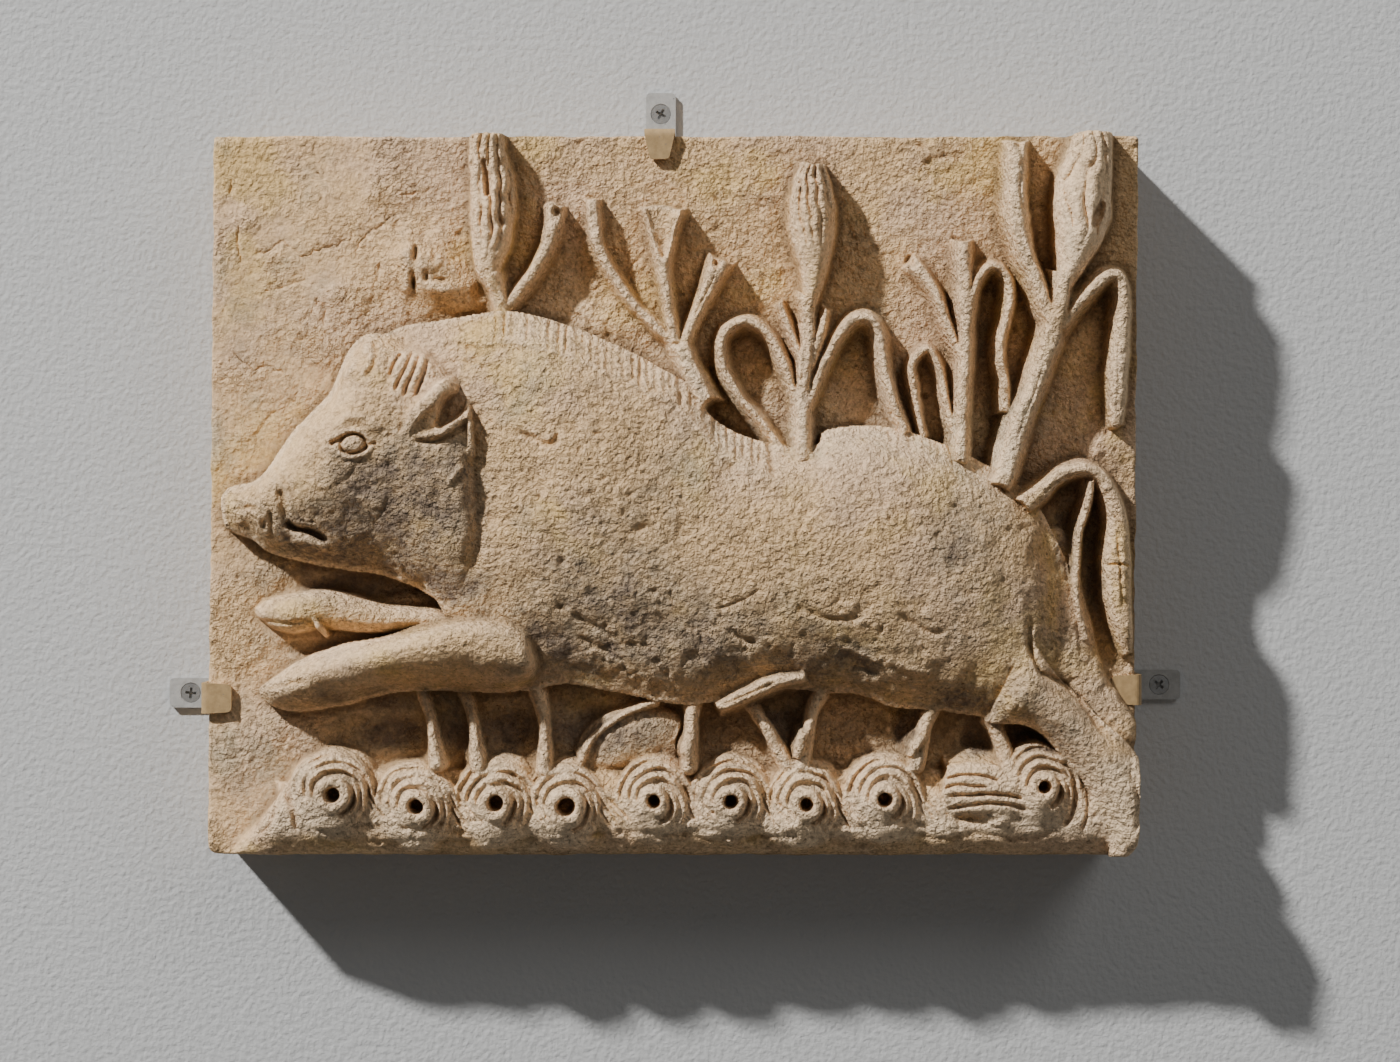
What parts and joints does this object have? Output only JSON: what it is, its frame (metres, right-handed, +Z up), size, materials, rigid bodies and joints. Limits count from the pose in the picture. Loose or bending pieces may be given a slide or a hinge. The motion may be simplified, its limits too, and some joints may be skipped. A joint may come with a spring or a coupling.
{
  "type": "carved wall panel",
  "caption": "Rectangular stucco wall relief of a leaping boar over curling waves with budding reeds behind, held to the wall by bent steel clips and countersunk screws.",
  "frame": {"origin": "middle of the panel's flat back, on the wall", "axes": "+X to the viewer's right along the panel's length, +Y into the wall, +Z up; the relief faces -Y"},
  "size_m": [0.4342, 0.1084, 0.3227],
  "materials": {
    "stucco": "aged gypsum stucco, warm beige, coarse and granular, with fine cracks, pits, pale worn arrises and patches of ochre, grey and pink",
    "clip_steel": "bent steel strip, painted grey on the wall tab and tan on the hook that lies over the panel",
    "screw_steel": "dull zinc-plated countersunk screw with a crossed recess"
  },
  "bodies": {
    "root": {"panel": "stucco", "clip_left": "clip_steel", "clip_right": "clip_steel", "clip_top": "clip_steel", "screw_left": "screw_steel", "screw_right": "screw_steel", "screw_top": "screw_steel"}
  },
  "joints": []
}
